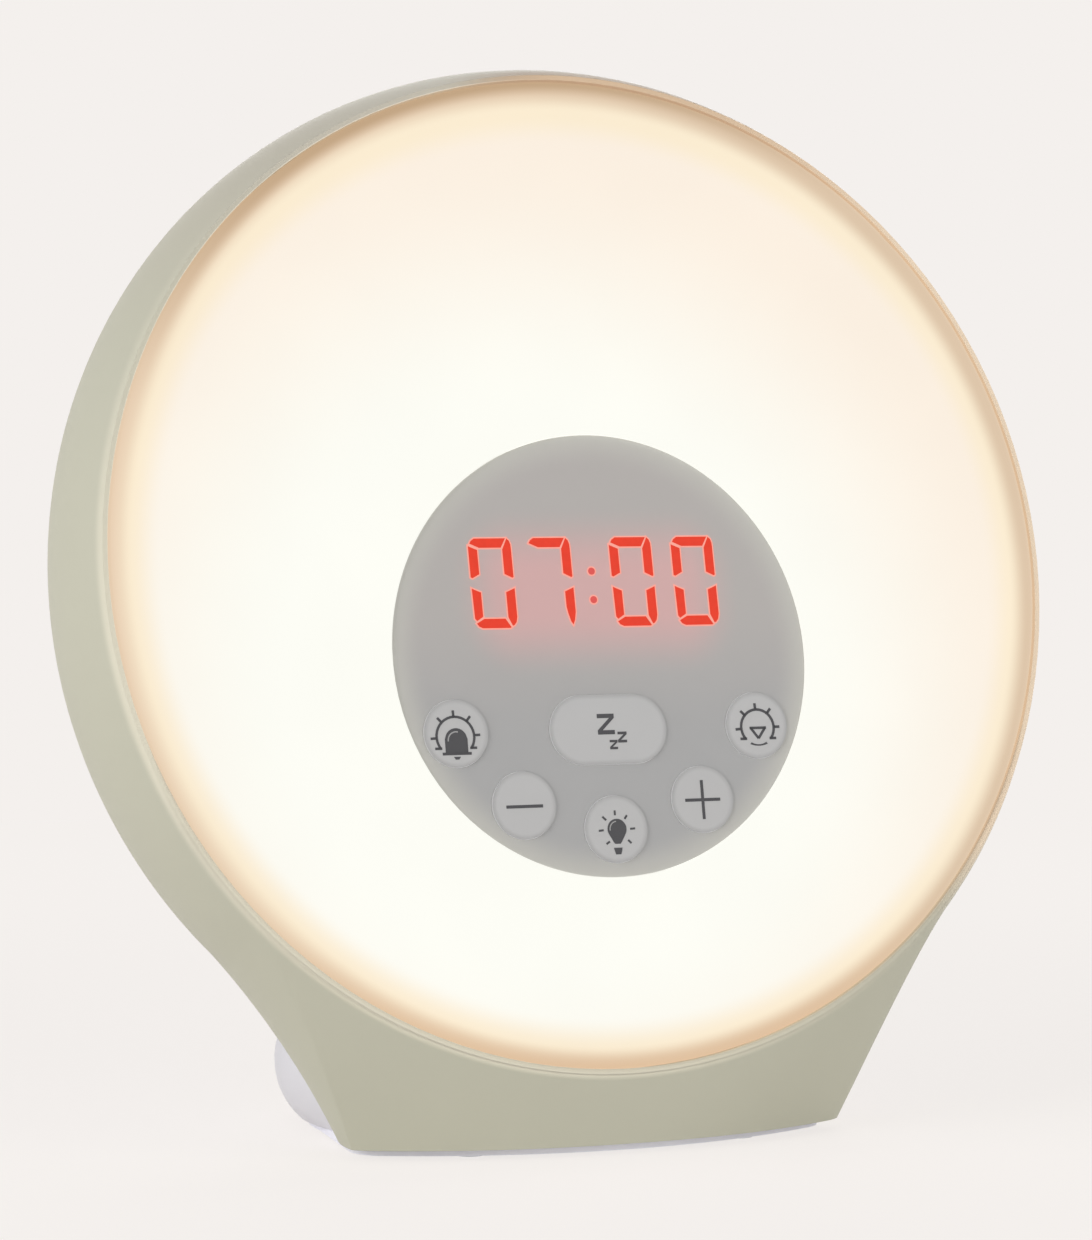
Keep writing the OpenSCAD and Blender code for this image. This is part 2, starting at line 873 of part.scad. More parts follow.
module cell_holder() {
  color(black) in_face() translate([cell_x, 0, cell_z]) difference() {
    rod(cell_r + 1.6, main_board_front - 3.8, main_board_front);
    rod(cell_r + 0.1, main_board_front - 5, main_board_front - 0.6);
    translate([-3, main_board_front - 5, 0]) cube([6, 4.4, 20]);
  }
}

module coin_cell() {
  color(steel) in_face() translate([cell_x, 0, cell_z]) {
    rod(cell_r, main_board_front - 2.6, main_board_front - 0.6);
    rod(cell_r - 1.4, main_board_front - 3.8, main_board_front - 2.6);
  }
}

// ---------- setting keys on the back ----------

module set_key(index) {
  color(white) in_face() translate([index * set_key_pitch, 0, set_key_z]) {
    rod(set_key_r, back_face - gap, back_depth + 0.8);
    rod(set_key_r + 0.9, back_face - gap - flange_t, back_face - gap);
    rod(1.5, set_switch_back + key_travel + 0.1, back_face - gap - flange_t);
  }
}

module hour_key() {
  set_key(-1);
}

module minute_key() {
  set_key(0);
}

module sound_key() {
  set_key(1);
}

module set_switches() {
  color(black) in_face() set_key_places() {
    face_block(main_board_back, set_switch_back - 0.8, 6);
    rod(1.7, set_switch_back - 0.8, set_switch_back);
  }
}

// ---------- speaker ----------

module speaker_frame() {
  color(steel) in_face() translate([0, 0, speaker_z]) spin() polygon([
    [6, speaker_yoke], [speaker_r - 9.4, speaker_yoke], [speaker_r - 2, back_face - 2],
    [speaker_r, back_face - 2], [speaker_r, back_face], [speaker_r - 2.4, back_face],
    [speaker_r - 2.4, back_face - 1], [speaker_r - 10, speaker_yoke + 1], [6, speaker_yoke + 1]
  ]);
}

module speaker_cone() {
  color(black) in_face() translate([0, 0, speaker_z]) {
    spin() polygon([
      [0, speaker_yoke + 2.7], [4.6, speaker_yoke + 2.7], [speaker_r - 3.6, back_face - 1.2],
      [speaker_r - 2.8, back_face - 1], [speaker_r - 2.8, back_face - 0.5],
      [speaker_r - 3.8, back_face - 0.6], [4.6, speaker_yoke + 3.4], [0, speaker_yoke + 3.4]
    ]);
    intersection() {
      translate([0, speaker_yoke - 1, 0]) sphere(r = 6);
      rod(4, speaker_yoke + 3.1, speaker_yoke + 6.6);
    }
  }
}

module speaker_magnet() {
  color("#55565a") in_face() translate([0, 0, speaker_z]) {
    rod(9.4, speaker_yoke - 5.8, speaker_yoke);
    rod(5, speaker_yoke, speaker_yoke + 2.4);
  }
}

// ---------- power socket ----------

// The socket's axis, pointing out of the back from a given place
module socket_axis(y) {
  translate([0, y, socket_z]) rotate([-90, 0, 0]) children();
}

module power_socket() {
  color(black) difference() {
    union() {
      socket_axis(socket_back_y) cylinder(r = socket_seat_r - 0.05, h = socket_face_y - socket_back_y);
      socket_axis(socket_boss_y - gap - 1.2) cylinder(r = socket_bore_r + 1.6, h = 1.2);
    }
    socket_axis(socket_face_y - 9) cylinder(r = 2.8, h = 20);
  }
}

module socket_pin() {
  color("#d8c48a") socket_axis(socket_face_y - 9) cylinder(r = 1.05, h = 8.4);
}

// ---------- cables inside ----------

module ribbon_cable() {
  color("#9aa0a6") in_face() translate([-7, control_board_back + connector_t, slot_z - 0.3])
    cube([14, main_board_front - control_board_back - 2 * connector_t, 0.6]);
}

module led_lead() {
  color("#c8b070") in_face() for (x = [-1.2, 1.2]) translate([x, 0, led_lead_z])
    wire([[0, pan_floor, 0], [0, 24, 0], [0, 26, -6], [0, main_board_front, -6]], 0.6);
}

module speaker_lead() {
  color("#b5443a") in_face() for (x = [-0.9, 0.9]) translate([x, 0, 0])
    wire([[12, 36, speaker_z + 9], [12, 34.4, speaker_z + 10], [16, 33.2, 5], [16, main_board_back, 5]], 0.6);
}

module socket_lead() {
  color(black) in_face() wire([
    to_face([0, socket_back_y, socket_z]), to_face([0, socket_back_y - 6, socket_z]),
    [12, 32, -73], [14, 24, -40], [14, 24, 6], [14, main_board_front, 6]
  ], 1.2);
}

front_shell();
rear_housing();
base_plate();
rubber_feet();
diffuser();
control_panel();
alarm_key();
snooze_key();
sunset_key();
minus_key();
plus_key();
light_key();
key_switches();
control_board();
display_module();
display_segments();
light_shield();
reflector();
led_board();
leds();
main_board();
board_parts();
connectors();
cell_holder();
coin_cell();
hour_key();
minute_key();
sound_key();
set_switches();
speaker_frame();
speaker_cone();
speaker_magnet();
power_socket();
socket_pin();
ribbon_cable();
led_lead();
speaker_lead();
socket_lead();
shell_screws();
reflector_screws();
carrier_screws();
board_screws();
control_screws();
base_screws();
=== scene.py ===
"""Looks of a sunrise alarm clock: finishes, the lit digits and printed symbols, studio and camera.

Everything is in metres in the clock's own frame. Flat marks, and the places where a tone changes,
are in millimetres in the face frame: x to the right, y into the clock along the keys' travel and
z up along the leaning face, from the middle of the diffuser's front or of a key's own front.
"""

import json
from functools import partial, reduce
from math import cos, radians, sin, sqrt

import bmesh
import bpy
from mathutils import Matrix, Vector


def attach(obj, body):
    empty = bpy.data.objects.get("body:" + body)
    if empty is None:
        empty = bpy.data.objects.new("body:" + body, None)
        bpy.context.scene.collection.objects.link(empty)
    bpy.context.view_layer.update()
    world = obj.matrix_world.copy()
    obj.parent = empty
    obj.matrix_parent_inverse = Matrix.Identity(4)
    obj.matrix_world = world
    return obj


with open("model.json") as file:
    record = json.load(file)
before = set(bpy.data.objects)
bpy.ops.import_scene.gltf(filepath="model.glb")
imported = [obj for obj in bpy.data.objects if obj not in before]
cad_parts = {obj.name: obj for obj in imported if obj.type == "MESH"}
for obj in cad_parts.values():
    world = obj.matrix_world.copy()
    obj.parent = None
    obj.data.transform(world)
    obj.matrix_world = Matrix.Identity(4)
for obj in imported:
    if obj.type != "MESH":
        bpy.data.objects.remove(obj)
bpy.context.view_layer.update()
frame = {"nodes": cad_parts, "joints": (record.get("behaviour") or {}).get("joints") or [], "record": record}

MM = 0.001


def srgb(*rgb):
    """A tone as it looks, from 0 to 255 a channel, as Blender's linear colour."""
    def channel(v):
        v /= 255
        return v / 12.92 if v <= 0.04045 else ((v + 0.055) / 1.055) ** 2.4
    return (*(channel(v) for v in rgb), 1.0)


# ---------- camera ----------

CAMERA_DISTANCE = 0.700        # from the middle of the rim
CAMERA_YAW = 22.51             # degrees to the left of the clock
CAMERA_PITCH = 2.30            # degrees downwards
RIM_RIGHT = 0.00747            # how far the rim's middle lies right of the middle of the view,
RIM_ABOVE = 0.00891            # and how far above it
RIM_DEPTH = 0.002              # how far the rim lies behind the diffuser's front
LENS = 123.47                  # millimetres
SENSOR = 36.0

# ---------- tones ----------

BACKGROUND = srgb(244, 240, 237)
SAGE = srgb(199, 198, 180)
SHELL_TOP_PAINTED_LIGHT = srgb(204, 199, 184)         # painted light: the shell's top, a little lighter
SHELL_CREST_PAINTED_SHADE_AND_GLOW = srgb(180, 160, 137)       # painted shade and glow: its front edge at the top right, darker and warm beside the lamp
RIM_SPILL = srgb(222, 201, 174)         # painted light: the rim at the right, warm from the lamp
# painted glow given off by the shell's rim and by the gap round the diffuser
SPILL_LIGHT = srgb(255, 238, 216)
HOUSING = srgb(227, 226, 231)
# painted light: the housing's white made lighter on the base plate, in the clock's shadow
BASE_WHITE_PAINTED_LIGHT = srgb(240, 240, 250)
OPAL_WHITE = srgb(254, 254, 246)
OPAL_CREAM = srgb(252, 240, 225)
OPAL_WARM = srgb(252, 237, 210)
OPAL_PEACH_LEFT = srgb(231, 206, 178)
OPAL_PEACH_RIGHT = srgb(222, 198, 170)
OPAL_LOW = srgb(225, 192, 157)
OPAL_EDGE = srgb(194, 164, 130)
PANEL = srgb(188, 184, 181)
PANEL_LOW = srgb(177, 177, 177)
PANEL_GLOW = srgb(221, 181, 179)
PANEL_RIM = srgb(200, 199, 192)
KEY = srgb(196, 196, 196)
PRINT = srgb(76, 76, 79)
SHINE = srgb(168, 168, 168)
DIGIT = srgb(230, 66, 46)
DIGIT_HALO = srgb(255, 172, 156)
COLON_TONE = srgb(222, 88, 84)

# ---------- strength of the light that the materials give off ----------

OPAL_GLOW = 0.93
DIGIT_GLOW = 0.9
HALO_GLOW = 0.88
LEAK = 0.6                     # in the gaps round the panel and the keys
SPILL = 0.2                    # painted glow on the shell's rim and in the gap round the diffuser
BASE_GLOW = 0.06               # painted glow on the base plate, whose edge would be lost in the clock's shadow

# ---------- where tones change, in millimetres ----------
# A mask is 0 at a pair's first value, 1 at its second and smooth between them. HEIGHT, SIDE and
# DEPTH are along z, x and y. BEYOND is the distance outside the diffuser's or a key's edge, which
# is negative inside it.

TOP_LIGHT_HEIGHT = (35, 78)          # painted light on the shell's top
TOP_LIGHT_DEPTH = (24, 10)
PAINTED_WARMTH_DEPTH = (7, 3)            # the painted warm light and shade on the shell keep to its front
# painted shade and glow on the shell's front edge at the top right
CREST_HEIGHT = (50, 84)
CREST_SIDE = (-22, -2)
FLANK_SIDE = (22, 46)          # painted light makes the flank warm at the right only,
SPILL_SIDE = (-20, 4)          # and the rim at the right, down to the neck
SPILL_HEIGHT = (-64, -44)
SPILL_SHARE = 0.9              # of the rim's painted glow, where its tone is painted warm
LOWER_LEFT = (-0.64, -0.77)    # x and z of the direction in which the rim's painted glow grows
LOWER_LEFT_REACH = (-20, 90)
RIM_GLOW_DEPTH = (4.5, 2.6)
RIM_GLOW_BEYOND = (2.1, 1.1)
RIM_CORNER_BEYOND = (1.1, 0.8)
GAP_BEYOND = (0.35, 0.2)
NECK_BOTTOM_HEIGHT = (-94, -84)
NECK_TOP_HEIGHT = (-25, -45)
NECK_ROUNDING = 3.0

CREAM_MIDDLE = (-10, -20)      # the diffuser is whitest here
CREAM_RADIUS = (44, 92)
BAND_SHIFT = 1.6               # the band along its edge is so much broader at the upper right
WARM_SHIFT = 1.5               # and its warm beginning in the upper half
WARM_SHIFT_HEIGHT = (30, 80)
WARM_BEYOND = (-9.2, -3.8)
PEACH_BEYOND = (-4.6, -1.1)
PEACH_SIDE = (-75, 60)
LOW_HEIGHT = (-50, -80)
LOW_SHARE = 0.8
EDGE_BEYOND = (-3.2, -0.8)
EDGE_UP = (-0.25, 1)           # x and z of the direction in which the last millimetres darken
EDGE_UP_REACH = (44, 86)

PANEL_LOW_HEIGHT = (-6, -30)
PANEL_RIM_RADIUS = (31.0, 37.4)
PANEL_GLOW_DROP = 1.6          # from the digits' middle to their glow's
PANEL_GLOW_SIDES = (14.5, 3)   # the digits' glow is full within this half width and half height
PANEL_GLOW_REACH = (11.5, 0.0)
KEY_FADE_BEYOND = (-1.8, -0.8)
LEAK_DEPTH = (0.05, 0.3)       # below a key's or the panel's front

# ---------- marks on the face, in millimetres ----------

MARK_THICKNESS = 0.04
OVER_PRINT = 0.03              # marks drawn on top of others stand this much higher
DIGIT_WIDTH = 7.5
DIGIT_HEIGHT = 14.8
DIGIT_MIDDLE_Z = -2.95
DIGIT_CENTRES = (-18.35, -7.95, 6.57, 17.72)
DIGIT_LEAN = -0.02             # sideways shift for each millimetre of height
BAR = 1.55
WAIST = (0.85, 1.5)            # from the digit's middle to an upright's outer and inner corner
HALO = 0.24
COLON = ((-0.75, -1.15), (-0.75, -5.9))
COLON_RADIUS = 0.6

# ---------- studio ----------

FLOOR_RADIUS = 6.0
SHADOW_SHOWN = 0.25            # share of the floor's own shading that is seen beside the clock
SHADOW_REACH = (0.60, 0.16)    # where that share is gone and where it is whole
FLOOR_LIFT = 1.11              # makes up for the floor being lit a little below its own tone
HORIZON_LIGHT = 0.46
ZENITH_LIGHT = 0.26
LAMPS = {                      # place, power in watts and size
    "key_lamp": ((-0.95, -0.35, 0.40), 5.6, 0.8),
    "fill_lamp": ((0.65, -0.9, 0.35), 3.8, 0.8),
    "back_lamp": ((0.55, 1.1, 0.60), 4.5, 1.0),
}


# ---------- the face frame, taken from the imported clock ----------

INTO = Vector(next(j["axis"] for j in frame["joints"] if j["child"] == "light_key")).normalized()
RIGHT = Vector((1, 0, 0))
UP = RIGHT.cross(INTO)


def face_extent(node):
    """Lowest and highest corner of a CAD node, measured along the face frame's axes."""
    points = [v.co for v in frame["nodes"][node].data.vertices]
    along = [[p.dot(axis) for p in points] for axis in (RIGHT, INTO, UP)]
    return Vector(min(a) for a in along), Vector(max(a) for a in along)


def front_middle(node):
    """Middle of a node's front, in the clock's frame."""
    low, high = face_extent(node)
    return RIGHT * (low.x + high.x) / 2 + INTO * low.y + UP * (low.z + high.z) / 2


def face_matrix(node="diffuser"):
    """The face frame in millimetres, at the middle of a node's front."""
    turn = Matrix((RIGHT, INTO, UP)).transposed().to_4x4()
    return Matrix.Translation(front_middle(node)) @ turn @ Matrix.Scale(MM, 4)


FACE_MIDDLE = front_middle("diffuser")
DIFFUSER_R = (face_extent("diffuser")[1].x - face_extent("diffuser")[0].x) / 2 / MM


# ---------- material graphs ----------

class Graph:
    """Short calls that build the nodes of a material or of the world."""

    def __init__(self, name, kind="materials", coordinates="Object"):
        self.owner = getattr(bpy.data, kind).new(name)
        self.owner.use_nodes = True
        self.tree = self.owner.node_tree
        self.coordinates = self.add("ShaderNodeTexCoord").outputs[coordinates]

    def add(self, kind, **settings):
        node = self.tree.nodes.new(kind)
        for key, value in settings.items():
            setattr(node, key, value)
        return node

    def put(self, socket, value):
        if isinstance(value, bpy.types.NodeSocket):
            self.tree.links.new(value, socket)
        else:
            socket.default_value = value

    def set(self, **values):
        """Puts values on the Principled shader; base_color stands for its socket Base Color."""
        for key, value in values.items():
            words = [w.upper() if w == "ior" else w.capitalize() for w in key.split("_")]
            self.put(self.tree.nodes["Principled BSDF"].inputs[" ".join(words)], value)

    def math(self, operation, *values):
        node = self.add("ShaderNodeMath", operation=operation)
        for socket, value in zip(node.inputs, values):
            self.put(socket, value)
        return node.outputs[0]

    def product(self, *values):
        return reduce(partial(self.math, "MULTIPLY"), values)

    def largest(self, *values):
        return reduce(partial(self.math, "MAXIMUM"), values)

    def step(self, value, low, high, kind="SMOOTHSTEP"):
        """0 below low, 1 above high and smooth between them; low may be the larger one."""
        node = self.add("ShaderNodeMapRange", interpolation_type=kind)
        for socket, v in zip(node.inputs, (value, low, high, 0.0, 1.0)):
            self.put(socket, v)
        return node.outputs[0]

    def mix(self, factor, a, b, blend="MIX"):
        node = self.add("ShaderNodeMix", data_type="RGBA", blend_type=blend)
        self.put(node.inputs["Factor"], factor)
        self.put(node.inputs[6], a)
        self.put(node.inputs[7], b)
        return node.outputs[2]

    def noise(self, scale, detail=2.0):
        node = self.add("ShaderNodeTexNoise")
        self.put(node.inputs["Vector"], self.coordinates)
        self.put(node.inputs["Scale"], scale)
        self.put(node.inputs["Detail"], detail)
        return node.outputs["Fac"]

    def vary(self, colour, amount, scale, detail=2.0):
        """A colour that wanders a little lighter and darker over the surface."""
        dark = (*(c * (1 - amount) for c in colour[:3]), 1.0)
        light = (*(min(1.0, c * (1 + amount)) for c in colour[:3]), 1.0)
        return self.mix(self.step(self.noise(scale, detail), 0.3, 0.7, "LINEAR"), dark, light)

    def darkened(self, colour, share):
        """A share of a linked colour."""
        return self.mix(1.0, colour, (share, share, share, 1.0), "MULTIPLY")

    def bump(self, height, distance, strength=1.0, rounding=None):
        """Raises the surface by up to a distance in millimetres; rounding softens edges, in metres."""
        node = self.add("ShaderNodeBump")
        self.put(node.inputs["Height"], height)
        self.put(node.inputs["Distance"], distance * MM)
        self.put(node.inputs["Strength"], strength)
        if rounding:
            bevel = self.add("ShaderNodeBevel", samples=8)
            self.put(bevel.inputs["Radius"], rounding)
            self.put(node.inputs["Normal"], bevel.outputs[0])
        self.set(normal=node.outputs[0])

    def gloss(self, fine, roughness, spread):
        """A roughness that follows fine, from 0 to 1, round its mean."""
        self.set(roughness=self.math("MULTIPLY_ADD", fine, spread, roughness - spread / 2))

    def grain(self, scale, roughness, spread, height, strength=0.6, detail=3.0, rounding=None):
        """A fine grain in the gloss and, by a height in millimetres, in the surface."""
        fine = self.noise(scale, detail)
        self.gloss(fine, roughness, spread)
        self.bump(fine, height, strength, rounding)

    def face_axes(self, matrix):
        """x, y and z in millimetres in a face frame, as sockets."""
        node = self.add("ShaderNodeMapping", vector_type="TEXTURE")
        self.put(node.inputs["Vector"], self.coordinates)
        self.put(node.inputs["Location"], matrix.translation)
        self.put(node.inputs["Rotation"], matrix.to_euler())
        self.put(node.inputs["Scale"], (MM, MM, MM))
        return self.split(node.outputs[0])

    def split(self, vector):
        node = self.add("ShaderNodeSeparateXYZ")
        self.put(node.inputs[0], vector)
        return node.outputs[:]

    def along(self, x, z, direction):
        """How far a point lies along a direction in the face."""
        return self.math("MULTIPLY_ADD", z, direction[1], self.product(x, direction[0]))

    def distance(self, x, z, middle=(0.0, 0.0), reach=(0.0, 0.0)):
        """Distance in the face from a point, or from a box that reaches so far to each side of it."""
        sides = []
        for value, centre, half in zip((x, z), middle, reach):
            away = self.math("ABSOLUTE", self.math("SUBTRACT", value, centre))
            sides.append(self.largest(self.math("SUBTRACT", away, half), 0.0))
        squares = [self.product(side, side) for side in sides]
        return self.math("SQRT", self.math("ADD", *squares))

    def beyond(self, x, z):
        """Distance outside the diffuser's edge."""
        return self.math("SUBTRACT", self.distance(x, z), DIFFUSER_R)

    def leak(self, depth):
        """Lamplight in the gap beside a key or the panel, from just below its front."""
        strength = self.product(self.step(depth, *LEAK_DEPTH), LEAK)
        self.set(emission_color=PANEL_LOW, emission_strength=strength)

    def emitter(self, kind, colour, strength):
        node = self.add(kind)
        self.put(node.inputs["Color"], colour)
        self.put(node.inputs["Strength"], strength)
        return node.outputs[0]

    def seen_directly(self):
        """1 for rays that come straight from the camera or by way of gloss or glass."""
        path = self.add("ShaderNodeLightPath").outputs
        return self.largest(*(path[f"Is {kind} Ray"] for kind in ("Camera", "Glossy", "Transmission")))

    def blend_seen(self, share, own, seen, output):
        """Shows one shader for a share of the rays and another one to the rest."""
        node = self.add("ShaderNodeMixShader")
        for socket, value in zip(node.inputs, (share, own, seen)):
            self.put(socket, value)
        self.put(self.tree.nodes[output].inputs["Surface"], node.outputs[0])


# ---------- finishes ----------

def moulding(name, tone, roughness, grain=0.012, rounding=None):
    """Moulded plastic with a fine spark-eroded grain and a slight drift in tone and gloss."""
    g = Graph(name)
    g.set(base_color=g.vary(tone, 0.015, 28, 3.0), specular_ior_level=0.35)
    g.grain(2200, roughness, 0.12, grain, rounding=rounding)
    return g.owner


def metal(name, tone, roughness):
    """Brushed metal."""
    g = Graph(name)
    g.set(base_color=g.vary(tone, 0.06, 160), metallic=1.0)
    g.grain(5200, roughness, 0.16, 0.004, strength=0.5, detail=4.0)
    return g.owner


def board(name, tone, track):
    """Solder mask over tracks: the tracks show as a slightly lighter, raised maze."""
    g = Graph(name)
    cells = g.add("ShaderNodeTexVoronoi", feature="DISTANCE_TO_EDGE", distance="MANHATTAN")
    g.put(cells.inputs["Vector"], g.coordinates)
    g.put(cells.inputs["Scale"], 420.0)
    tracks = g.step(cells.outputs["Distance"], 0.10, 0.04)
    g.set(base_color=g.mix(tracks, g.vary(tone, 0.05, 60), track))
    g.gloss(g.noise(900), 0.3, 0.1)
    g.bump(tracks, 0.03)
    return g.owner


def lit(name, tone, strength=DIGIT_GLOW):
    """Ink that glows: the digits and the halo that the window spreads round them."""
    g = Graph(name)
    colour = g.vary(tone, 0.03, 900)
    g.set(base_color=g.darkened(colour, 0.12), specular_ior_level=0.1)
    g.set(emission_color=colour, emission_strength=strength)
    g.gloss(g.noise(1500), 0.55, 0.1)
    return g.owner


def shell():
    """Sage moulding with painted light on its top, the lamp's light painted on its rim, and painted shade
    and glow on its front edge.
    """
    g = Graph("shell_sage")
    x, y, z = g.face_axes(face_matrix())
    beyond = g.beyond(x, z)
    warm = g.step(y, *PAINTED_WARMTH_DEPTH)
    crest_height = g.step(z, *CREST_HEIGHT)
    # Painted light on the shell's top
    top = g.product(g.step(z, *TOP_LIGHT_HEIGHT), g.step(y, *TOP_LIGHT_DEPTH))
    # Painted shade and glow on the front edge at the top right
    crest_shade_and_glow = g.product(crest_height, g.step(x, *CREST_SIDE), warm)
    # Painted light: the flank's first millimetres show as a thin warm line beside the rim
    flank = g.product(g.step(x, *FLANK_SIDE), warm)
    spill = g.largest(g.step(beyond, *RIM_CORNER_BEYOND), flank)
    spill = g.product(spill, g.step(x, *SPILL_SIDE), g.step(z, *SPILL_HEIGHT))
    tone = g.mix(top, g.vary(SAGE, 0.015, 28, 3.0), SHELL_TOP_PAINTED_LIGHT)
    tone = g.mix(crest_shade_and_glow, tone, SHELL_CREST_PAINTED_SHADE_AND_GLOW)
    # The rim at the right takes painted lamplight, and at the top the diffuser's dark edge tone as painted
    # shade
    tone = g.mix(spill, tone, g.mix(crest_height, RIM_SPILL, OPAL_EDGE))
    g.set(base_color=tone, specular_ior_level=0.35)
    # Painted glow: the gap round the diffuser gives light all round, and the rim at the lower left
    lower_left = g.step(g.along(x, z, LOWER_LEFT), *LOWER_LEFT_REACH)
    rim = g.product(g.step(beyond, *RIM_GLOW_BEYOND), g.step(y, *RIM_GLOW_DEPTH), lower_left)
    light = g.largest(rim, g.step(beyond, *GAP_BEYOND), g.product(spill, SPILL_SHARE))
    g.set(emission_color=SPILL_LIGHT, emission_strength=g.product(light, SPILL))
    # Only the neck's creases are rounded
    neck = g.product(g.step(z, *NECK_BOTTOM_HEIGHT), g.step(z, *NECK_TOP_HEIGHT))
    g.grain(2200, 0.52, 0.12, 0.008, rounding=g.product(neck, NECK_ROUNDING * MM))
    return g.owner


def base_white_painted_light():
    """White moulding, lighter than the housing's and with a faint glow: painted light, so that the base
    plate's edge shows in the clock's shadow.
    """
    g = Graph("base_white_painted_light")
    tone = g.vary(BASE_WHITE_PAINTED_LIGHT, 0.01, 40)
    g.set(base_color=tone, emission_color=tone, emission_strength=BASE_GLOW)
    g.grain(2200, 0.5, 0.12, 0.012)
    return g.owner


def opal():
    """Lit cover: near white beside the panel, cream further out, peach where the light thins."""
    g = Graph("diffuser_opal")
    x, _, z = g.face_axes(face_matrix())
    beyond = g.beyond(x, z)
    # The band along the edge is broader towards the upper right
    band = g.math("MULTIPLY_ADD", g.along(x, z, (1, 1)), BAND_SHIFT / DIFFUSER_R / sqrt(2), beyond)
    warm_band = g.math("MULTIPLY_ADD", g.step(z, *WARM_SHIFT_HEIGHT), WARM_SHIFT, band)
    cream = g.step(g.distance(x, z, CREAM_MIDDLE), *CREAM_RADIUS)
    warm = g.step(warm_band, *WARM_BEYOND)
    peach = g.step(band, *PEACH_BEYOND)
    low = g.product(peach, g.step(z, *LOW_HEIGHT), LOW_SHARE)
    edge = g.product(g.step(beyond, *EDGE_BEYOND), g.step(g.along(x, z, EDGE_UP), *EDGE_UP_REACH))
    tone = g.mix(cream, OPAL_WHITE, OPAL_CREAM)
    tone = g.mix(warm, tone, OPAL_WARM)
    tone = g.mix(peach, tone, g.mix(g.step(x, *PEACH_SIDE), OPAL_PEACH_LEFT, OPAL_PEACH_RIGHT))
    tone = g.mix(low, tone, OPAL_LOW)
    tone = g.mix(edge, tone, OPAL_EDGE)
    tone = g.mix(1.0, tone, g.vary((0.99, 0.99, 0.99), 0.01, 40), "MULTIPLY")
    g.set(base_color=g.darkened(tone, 0.07), specular_ior_level=0.12)
    g.set(emission_color=tone, emission_strength=OPAL_GLOW)
    g.gloss(g.noise(1800), 0.46, 0.08)
    return g.owner


def panel():
    """Satin grey with a pink glow round the digits and a paler line where light leaks at its rim."""
    g = Graph("panel_grey")
    x, y, z = g.face_axes(face_matrix())
    middle = front_middle("control_panel") - FACE_MIDDLE
    low = g.step(z, *PANEL_LOW_HEIGHT)
    rim = g.step(g.distance(x, z, (0, middle.dot(UP) / MM)), *PANEL_RIM_RADIUS)
    glow_middle = (0, DIGIT_MIDDLE_Z - PANEL_GLOW_DROP)
    glow = g.step(g.distance(x, z, glow_middle, PANEL_GLOW_SIDES), *PANEL_GLOW_REACH)
    tone = g.mix(low, g.vary(PANEL, 0.012, 35), g.vary(PANEL_LOW, 0.012, 35))
    tone = g.mix(glow, tone, PANEL_GLOW)
    tone = g.mix(rim, tone, PANEL_RIM)
    g.set(base_color=tone, specular_ior_level=0.25)
    g.grain(2600, 0.47, 0.1, 0.006, strength=0.5)
    g.leak(g.math("SUBTRACT", y, middle.dot(INTO) / MM))
    return g.owner


def key(node):
    """A paler key whose tone runs out softly into the panel's at its edge."""
    g = Graph("key_grey_" + node)
    low, high = face_extent(node)
    size = (high - low) / MM
    x, y, z = g.face_axes(face_matrix(node))
    beyond = g.math("SUBTRACT", g.distance(x, z, reach=((size.x - size.z) / 2, 0)), size.z / 2)
    fade = g.step(beyond, *KEY_FADE_BEYOND)
    g.set(base_color=g.mix(fade, g.vary(KEY, 0.01, 60), PANEL_LOW), specular_ior_level=0.25)
    g.grain(2600, 0.47, 0.1, 0.006, strength=0.5)
    g.leak(y)
    return g.owner


MOULDED = {                    # tone, roughness, height of the grain and rounding of the edges
    "housing_white": (HOUSING, 0.5, 0.012, 0.6 * MM),
    "foot_rubber": (srgb(46, 46, 48), 0.85, 0.03),
    "black_plastic": (srgb(42, 42, 45), 0.45),
    "inner_white": (srgb(232, 231, 226), 0.55),
    "led_yellow": (srgb(240, 214, 128), 0.35),
    "connector_cream": (srgb(226, 218, 198), 0.5),
    "speaker_paper": (srgb(38, 38, 40), 0.9, 0.06),
    "cable_grey": (srgb(150, 152, 156), 0.6, 0.02),
    "cable_black": (srgb(40, 40, 42), 0.55, 0.02),
}
METALS = {                     # tone and roughness
    "steel": (srgb(198, 200, 204), 0.34),
    "magnet_steel": (srgb(110, 110, 114), 0.45),
    "pin_brass": (srgb(214, 188, 124), 0.28),
}
BOARDS = {                     # tones of the mask and of its tracks
    "circuit_board": (srgb(38, 96, 62), srgb(58, 122, 80)),
    "board_white": (srgb(232, 232, 228), srgb(222, 222, 216)),
}
MATERIALS = {
    "shell_sage": shell(),
    "diffuser_opal": opal(),
    "panel_grey": panel(),
    "display_red": lit("display_red", DIGIT),
}
for make, table in ((moulding, MOULDED), (metal, METALS), (board, BOARDS)):
    MATERIALS.update({slot: make(slot, *values) for slot, values in table.items()})

PRINT_INK = moulding("print_ink", PRINT, 0.6, 0.004)
SHINE_INK = moulding("shine_ink", SHINE, 0.6, 0.004)
HALO_INK = lit("digit_halo", DIGIT_HALO, HALO_GLOW)
COLON_INK = lit("colon_ink", COLON_TONE)


def finish(node, slot):
    """The material of a carried-over node: each front key has its own, and so has the base plate."""
    if slot == "key_grey":
        return key(node)
    return base_white_painted_light() if node == "base_plate" else MATERIALS[slot]


def finish_nodes():
    for part in frame["record"]["subparts"]:
        materials = frame["nodes"][part["node"]].data.materials
        materials.clear()
        materials.append(finish(part["node"], part["material_slot"]))


# ---------- new objects ----------

def link(thing):
    bpy.context.scene.collection.objects.link(thing)


